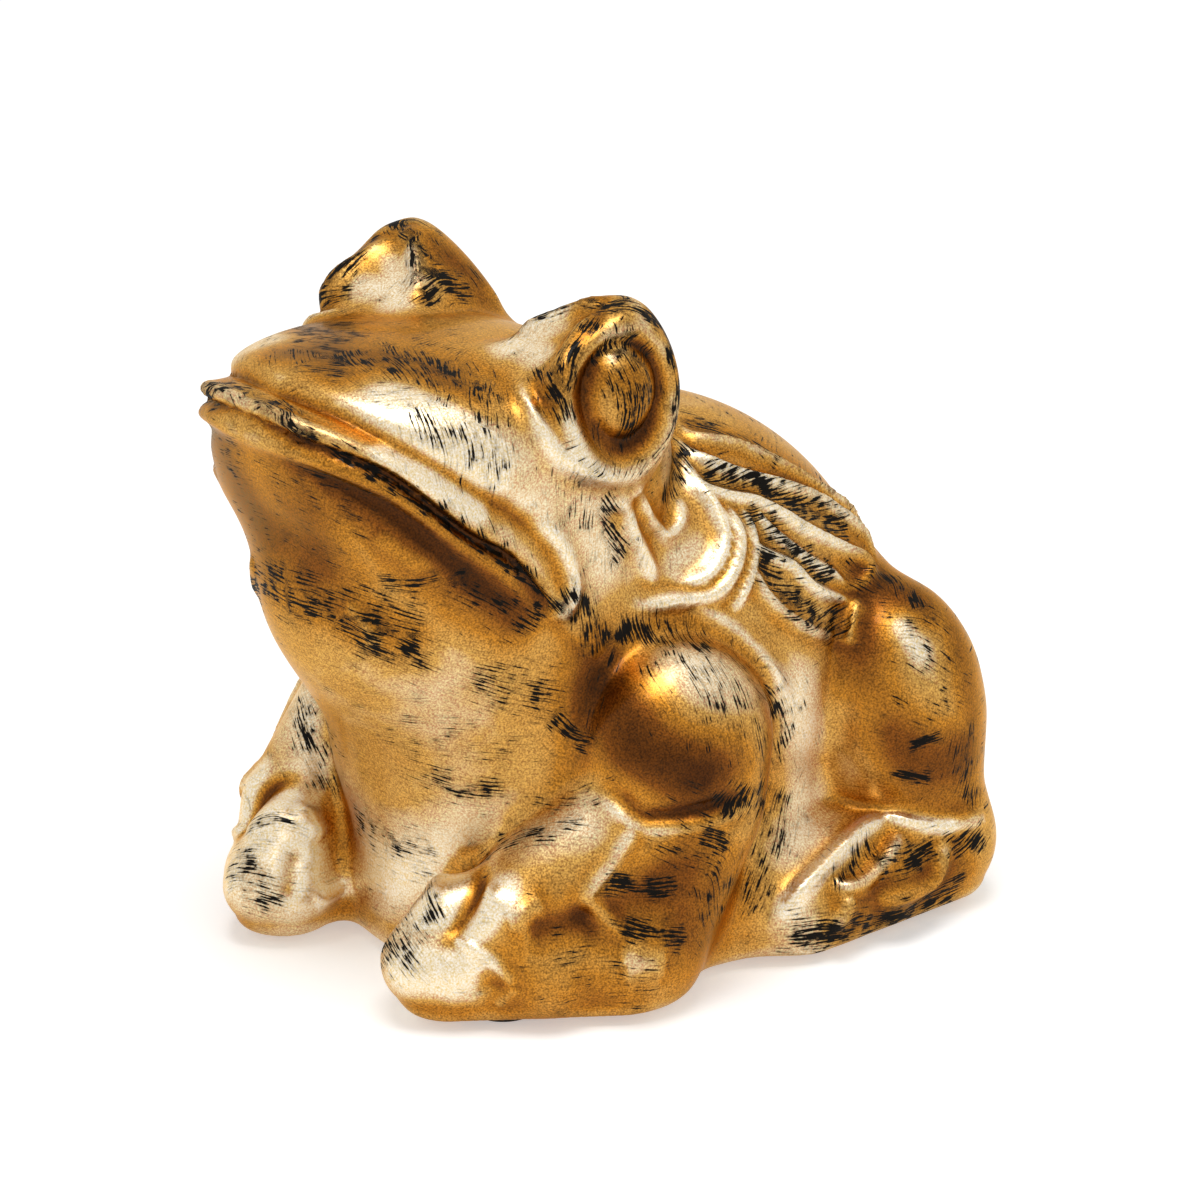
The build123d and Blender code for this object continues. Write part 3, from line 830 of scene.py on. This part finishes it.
def gilded_ceramic(finish):
    """Slip-cast ceramic with a sprayed gold bronze coat, an amber wash, black dry-brushed
    over it and a clear lacquer: soft metal glow with fine grain, matt bristle marks and
    wet highlights. Seen edge on, the flakes stay gold. Its gold tone also holds painted
    shade in the hollows and dim places, and painted highlights on the ridges and lit places."""
    material, tree = new_material("dry_brushed_gold_on_cast_ceramic")
    place = add_node(tree, "ShaderNodeNewGeometry").outputs["Position"]
    stored = add_node(tree, "ShaderNodeAttribute", {"attribute_name": "brush_marks"})
    marks = stored.outputs["Vector"]
    cover = add_node(tree, "ShaderNodeSeparateXYZ", None, {0: marks}).outputs["Z"]
    # The stored tone is the amber wash together with painted shade, and thin gold together with
    # painted highlights
    tone = add_node(tree, "ShaderNodeAttribute", {"attribute_name": "tone"}).outputs["Fac"]

    # Bristle lines, broken by blots where the brush skipped
    bristle_place = add_node(tree, "ShaderNodeMapping", None, {
        "Vector": marks, "Scale": (1 / BRISTLE_RUN, 1 / BRISTLE_GAP, 0.0)})
    bristle = add_node(tree, "ShaderNodeTexNoise", None, {
        "Vector": bristle_place.outputs[0], "Scale": 1.0, "Detail": 2.0, "Roughness": 0.6})
    blot = add_node(tree, "ShaderNodeTexNoise", None, {
        "Vector": place, "Scale": 1 / (BLOT * MM), "Detail": 3.0, "Roughness": 0.6})
    skipped = add_node(tree, "ShaderNodeMath", {"operation": "MULTIPLY_ADD"}, {
        0: blot.outputs["Fac"], 1: BLOT_SHARE, 2: cover})
    amount = add_node(tree, "ShaderNodeMath", {"operation": "MULTIPLY_ADD"}, {
        0: bristle.outputs["Fac"], 1: BRISTLE_SHARE, 2: skipped.outputs[0]})
    black, haze = (
        add_node(tree, "ShaderNodeMapRange", {"interpolation_type": "SMOOTHSTEP"}, {
            "Value": amount.outputs[0], "From Min": start, "From Max": end,
            "To Max": most}).outputs[0]
        for start, end, most in (BLACK, HAZE))

    # Metal flakes, and slow clouds in how thick the wash is. The ramp turns the tone into
    # colour:
    # deep amber for the wash and painted shade, pale gold for thin gold and painted highlights
    grain = add_node(tree, "ShaderNodeTexNoise", None, {
        "Vector": place, "Scale": 1 / (GRAIN * MM), "Detail": 1.0, "Roughness": 0.5}).outputs[0]
    cloud = add_node(tree, "ShaderNodeTexNoise", None, {
        "Vector": place, "Scale": 1 / (CLOUD * MM), "Detail": 3.0, "Roughness": 0.55})
    wash = add_node(tree, "ShaderNodeMath", {"operation": "MULTIPLY_ADD"}, {
        0: cloud.outputs["Fac"], 1: CLOUD_SHARE, 2: tone})
    gold = add_node(tree, "ShaderNodeValToRGB", None, {0: wash.outputs[0]})
    ramp = gold.color_ramp
    for share, colour in ((0.30, finish.gold), (0.52, finish.old_gold), (0.78, finish.amber)):
        ramp.elements.new(share).color = (*colour, 1)
    ramp.elements[0].color = (*finish.pale_gold_and_highlights, 1)
    ramp.elements[-1].color = (*finish.deep_amber_and_shade, 1)
    flake = add_node(tree, "ShaderNodeMapRange", None, {
        "Value": grain, "From Min": 0.3, "From Max": 0.7})
    grained = add_node(tree, "ShaderNodeMix", {"data_type": "RGBA", "blend_type": "OVERLAY"}, {
        0: 0.5, 6: gold.outputs["Color"], 7: flake.outputs[0]})
    hazed = add_node(tree, "ShaderNodeMix", {"data_type": "RGBA"}, {
        0: haze, 6: grained.outputs[2], 7: (*finish.thin_black, 1)})
    colour = add_node(tree, "ShaderNodeMix", {"data_type": "RGBA"}, {
        0: black, 6: hazed.outputs[2], 7: (*finish.black, 1)})
    metallic = add_node(tree, "ShaderNodeMapRange", None, {
        "Value": black, "To Min": 0.95, "To Max": 0.0})
    gloss = add_node(tree, "ShaderNodeMapRange", None, {
        "Value": black, "To Min": 0.5, "To Max": 0.06})
    metal_roughness = add_node(tree, "ShaderNodeMapRange", None, {
        "Value": flake.outputs[0], "To Min": 0.28, "To Max": 0.44})
    roughness = add_node(tree, "ShaderNodeMath", {"operation": "MULTIPLY_ADD"}, {
        0: black, 1: BLACK_ROUGHER, 2: metal_roughness.outputs[0]})
    bump = add_node(tree, "ShaderNodeBump", None, {
        "Height": grain, "Strength": 0.35, "Distance": 0.04 * MM})
    shader = add_node(tree, "ShaderNodeBsdfPrincipled", None, {
        "Base Color": colour.outputs[2], "Metallic": metallic.outputs[0],
        "Roughness": roughness.outputs[0], "Normal": bump.outputs[0],
        "Specular IOR Level": gloss.outputs[0], "Specular Tint": (*finish.glancing, 1),
        "Coat Weight": 0.1, "Coat Roughness": 0.12})
    add_node(tree, "ShaderNodeOutputMaterial", None, {"Surface": shader.outputs[0]})
    return material


def soft_vinyl(finish):
    """Moulded soft vinyl: matt and slightly waxy, with faint flow marks."""
    material, tree = new_material("moulded_soft_vinyl")
    place = add_node(tree, "ShaderNodeNewGeometry").outputs["Position"]
    flow = add_node(tree, "ShaderNodeTexNoise", None, {
        "Vector": place, "Scale": 1 / (FLOW_MARK * MM), "Detail": 2.0}).outputs[0]
    colour = add_node(tree, "ShaderNodeMix", {"data_type": "RGBA"}, {
        0: flow, 6: (*finish.bung, 1), 7: (*finish.worn_bung, 1)})
    roughness = add_node(tree, "ShaderNodeMapRange", None, {
        "Value": flow, "To Min": 0.5, "To Max": 0.65})
    bump = add_node(tree, "ShaderNodeBump", None, {
        "Height": flow, "Strength": 0.2, "Distance": 0.05 * MM})
    shader = add_node(tree, "ShaderNodeBsdfPrincipled", None, {
        "Base Color": colour.outputs[2], "Roughness": roughness.outputs[0], "IOR": 1.53,
        "Normal": bump.outputs[0]})
    add_node(tree, "ShaderNodeOutputMaterial", None, {"Surface": shader.outputs[0]})
    return material


def wool_felt(finish):
    """Pressed wool felt: matt and fuzzy, with matted fibres."""
    material, tree = new_material("pressed_wool_felt")
    place = add_node(tree, "ShaderNodeNewGeometry").outputs["Position"]
    fibre = add_node(tree, "ShaderNodeTexNoise", None, {
        "Vector": place, "Scale": 1 / (FIBRE * MM), "Detail": 3.0,
        "Distortion": 1.5}).outputs[0]
    colour = add_node(tree, "ShaderNodeMix", {"data_type": "RGBA"}, {
        0: fibre, 6: (*finish.felt, 1), 7: (*finish.felt_fuzz, 1)})
    bump = add_node(tree, "ShaderNodeBump", None, {
        "Height": fibre, "Strength": 0.6, "Distance": 0.1 * MM})
    shader = add_node(tree, "ShaderNodeBsdfPrincipled", None, {
        "Base Color": colour.outputs[2], "Roughness": 0.95, "Sheen Weight": 0.4,
        "Sheen Roughness": 0.5, "Normal": bump.outputs[0]})
    add_node(tree, "ShaderNodeOutputMaterial", None, {"Surface": shader.outputs[0]})
    return material


def colour_property(name, description, hex_colour):
    """A colour to choose, from an sRGB hex colour."""
    return FloatVectorProperty(
        name=name, description=description, subtype="COLOR", size=3, min=0, max=1,
        default=linear(hex_colour))


class FrogCastingSettings(bpy.types.PropertyGroup):
    spacing: FloatProperty(
        name="Skin spacing", description="Distance between the points of the skin",
        default=0.63 * MM, min=0.3 * MM, unit="LENGTH")
    relief: FloatProperty(
        name="Relief", description="How strongly the ridges and grooves stand out",
        default=1.0, min=0, subtype="FACTOR")


class FrogFinishSettings(bpy.types.PropertyGroup):
    # Pale gold is both gold rubbed thin on the ridges and painted highlight; deep amber is both
    # amber wash in the hollows and painted shade
    pale_gold_and_highlights: colour_property("Pale gold", "Gold rubbed thin on the ridges", "#EDDCBC")
    gold: colour_property("Gold", "Sprayed gold coat", "#C6974D")
    old_gold: colour_property("Old gold", "Gold under a thin amber wash", "#B27624")
    amber: colour_property("Amber", "Amber wash", "#774310")
    deep_amber_and_shade: colour_property("Deep amber", "Amber wash gathered in the hollows", "#452204")
    thin_black: colour_property("Thin black", "Black brushed out to a haze", "#2A1804")
    black: colour_property("Black", "Black brush marks", "#0E0B08")
    glancing: colour_property("Glancing gold", "Tint of the flakes seen edge on", "#FFE4BA")
    bung: colour_property("Bung", "Soft vinyl bung", "#35302B")
    worn_bung: colour_property("Worn bung", "Paler flow marks in the vinyl", "#413B35")
    felt: colour_property("Felt", "Wool felt pads", "#2A2622")
    felt_fuzz: colour_property("Felt fuzz", "Loose fibres on the felt", "#3D3833")


class FrogStageSettings(bpy.types.PropertyGroup):
    floor: colour_property("Floor", "Plain pale floor", "#F4F4F2")
    top_light: FloatProperty(
        name="Top light", description="Power of the overhead softbox", default=2.6, min=0,
        unit="POWER")
    fill: FloatProperty(
        name="Fill", description="Strength of the even light from all round", default=0.5,
        min=0)


class FrogSettings(bpy.types.PropertyGroup):
    casting: PointerProperty(type=FrogCastingSettings)
    finish: PointerProperty(type=FrogFinishSettings)
    stage: PointerProperty(type=FrogStageSettings)


class FROG_OT_casting(bpy.types.Operator):
    """Model the cast ceramic frog with its relief and gilded finish"""
    bl_idname = "frog.casting"
    bl_label = "Ceramic Casting"

    def execute(self, context):
        settings = context.scene.frog
        spacing = settings.casting.spacing / MM
        points, faces = remeshed(*first_skin(), ROUGH_SPACING_SHARE * spacing)
        points, faces = remeshed(drawn_to_form(points, times=4), faces, spacing)
        points = drawn_to_form(points, times=3)
        tree = BVHTree.FromPolygons(points.tolist(), faces.tolist())
        marks = brush_marks(points, skin_normals(points, faces), tree)
        # Amber wash and thin gold, with painted shade and painted highlights among them
        tone = washes_with_painted_light(points, tree)
        heights = relief_heights(points, tree) * settings.casting.relief
        points = points + skin_normals(points, faces) * heights[:, None] + eye_lift(points)
        # Painted shade in the creases and hollows, with the amber wash gathered there, and
        # painted highlights on the ridges
        fine, broad = hollows(points, faces)
        crease_shade_and_ridge_highlights = np.clip(FINE_SHARE * fine, *FINE_LIMITS)
        tone = BARE_TONE + WASH_AND_PAINTED_LIGHT_SHARE * tone + crease_shade_and_ridge_highlights + BROAD_SHARE * broad
        mesh = bpy.data.meshes.new("ceramic_frog")
        mesh.from_pydata(((points + SOLE) * MM).tolist(), [], faces.tolist())
        mesh.polygons.foreach_set("use_smooth", [True] * len(mesh.polygons))
        stored_marks = mesh.attributes.new("brush_marks", "FLOAT_VECTOR", "POINT")
        stored_marks.data.foreach_set("vector", marks.ravel())
        mesh.attributes.new("tone", "FLOAT", "POINT").data.foreach_set("value", tone)
        frog = new_object("ceramic_frog", mesh)
        mesh.materials.append(gilded_ceramic(settings.finish))
        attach(frog, "root")
        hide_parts("body_casting")
        return {"FINISHED"}


class FROG_OT_underside(bpy.types.Operator):
    """Finish the bung and the felt pads under the frog"""
    bl_idname = "frog.underside"
    bl_label = "Bung and Felt Pads"

    def execute(self, context):
        finish = context.scene.frog.finish
        vinyl, felt = soft_vinyl(finish), wool_felt(finish)
        for name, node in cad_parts.items():
            if name == "body_casting":
                continue
            node.data.materials.clear()
            node.data.materials.append(vinyl if name == "pour_hole_bung" else felt)
        return {"FINISHED"}


class FROG_OT_stage(bpy.types.Operator):
    """Set the floor, the studio light and the camera"""
    bl_idname = "frog.stage"
    bl_label = "Stage"

    def execute(self, context):
        settings = context.scene.frog.stage
        self.floor(settings)
        self.lights(context.scene, settings)
        context.scene.camera = self.camera()
        context.scene.view_settings.view_transform = "Standard"
        return {"FINISHED"}

    def background_rays(self, tree):
        """The rays that see the white background: the camera's and the reflected ones."""
        path = add_node(tree, "ShaderNodeLightPath").outputs
        reflected = add_node(tree, "ShaderNodeMath", {"operation": "MAXIMUM"}, {
            0: path["Is Glossy Ray"], 1: path["Is Transmission Ray"]})
        seen = add_node(tree, "ShaderNodeMath", {"operation": "MAXIMUM"}, {
            0: path["Is Camera Ray"], 1: reflected.outputs[0]})
        return seen.outputs[0]

    def floor(self, settings):
        corners = np.array([(-1, -1, 0), (1, -1, 0), (1, 1, 0), (-1, 1, 0)]) * FLOOR_HALF
        mesh = bpy.data.meshes.new("floor")
        mesh.from_pydata(corners.tolist(), [], [(0, 1, 2, 3)])
        floor = new_object("floor", mesh)
        material, tree = new_material("smooth_matt_paper")
        seen = add_node(tree, "ShaderNodeMath", {"operation": "MULTIPLY"}, {
            0: self.background_rays(tree), 1: FLOOR_GLOW})
        paper = add_node(tree, "ShaderNodeBsdfDiffuse", None, {"Color": (*settings.floor, 1)})
        glow = add_node(tree, "ShaderNodeEmission", None, {"Strength": seen.outputs[0]})
        both = add_node(tree, "ShaderNodeAddShader", None, {
            0: paper.outputs[0], 1: glow.outputs[0]})
        add_node(tree, "ShaderNodeOutputMaterial", None, {"Surface": both.outputs[0]})
        mesh.materials.append(material)

    def lights(self, scene, settings):
        scene.world = bpy.data.worlds.new("studio")
        scene.world.use_nodes = True
        tree = scene.world.node_tree
        tree.nodes.clear()
        strength = add_node(tree, "ShaderNodeMapRange", None, {
            "Value": self.background_rays(tree), "To Min": settings.fill, "To Max": 1.0})
        light = add_node(tree, "ShaderNodeBackground", None, {
            "Color": (1, 1, 1, 1), "Strength": strength.outputs[0]})
        add_node(tree, "ShaderNodeOutputWorld", None, {"Surface": light.outputs[0]})
        softbox = bpy.data.lights.new("top_softbox", "AREA")
        softbox.energy = settings.top_light
        softbox.shape = "RECTANGLE"
        softbox.size = SOFTBOX_SIZE
        softbox.size_y = SOFTBOX_SIZE
        lamp = new_object("top_softbox", softbox)
        lamp.location = SOFTBOX_PLACE
        aim = Vector(SOFTBOX_AIM) - lamp.location
        lamp.rotation_euler = aim.to_track_quat("-Z", "Y").to_euler()

    def camera(self):
        back = camera_axes()[2]
        data = bpy.data.cameras.new("camera")
        data.sensor_width = SENSOR_WIDTH
        data.lens = SENSOR_WIDTH * FOCAL_PIXELS / FRAME_PIXELS
        camera = new_object("camera", data)
        camera.location = (CAMERA_TARGET + SOLE + back * CAMERA_DISTANCE) * MM
        camera.rotation_euler = Vector(-back).to_track_quat("-Z", "Y").to_euler()
        return camera


class FROG_PT_panel(bpy.types.Panel):
    """Steps of the frog, in order"""
    bl_idname = "FROG_PT_panel"
    bl_label = "Gilded Frog"
    bl_space_type = "VIEW_3D"
    bl_region_type = "UI"
    bl_category = "Frog"

    def draw(self, context):
        for operator in OPERATORS:
            self.layout.operator(operator.bl_idname)
        settings = context.scene.frog
        for group in (settings.casting, settings.finish, settings.stage):
            for name in group.__annotations__:
                self.layout.prop(group, name)


OPERATORS = (FROG_OT_casting, FROG_OT_underside, FROG_OT_stage)
GROUPS = (FrogCastingSettings, FrogFinishSettings, FrogStageSettings, FrogSettings)
CLASSES = (*GROUPS, *OPERATORS, FROG_PT_panel)


def register():
    for cls in CLASSES:
        bpy.utils.register_class(cls)
    bpy.types.Scene.frog = PointerProperty(type=FrogSettings)


def unregister():
    del bpy.types.Scene.frog
    for cls in reversed(CLASSES):
        bpy.utils.unregister_class(cls)


def main():
    register()
    bpy.ops.frog.casting()
    bpy.ops.frog.underside()
    bpy.ops.frog.stage()


if __name__ == "__main__":
    main()
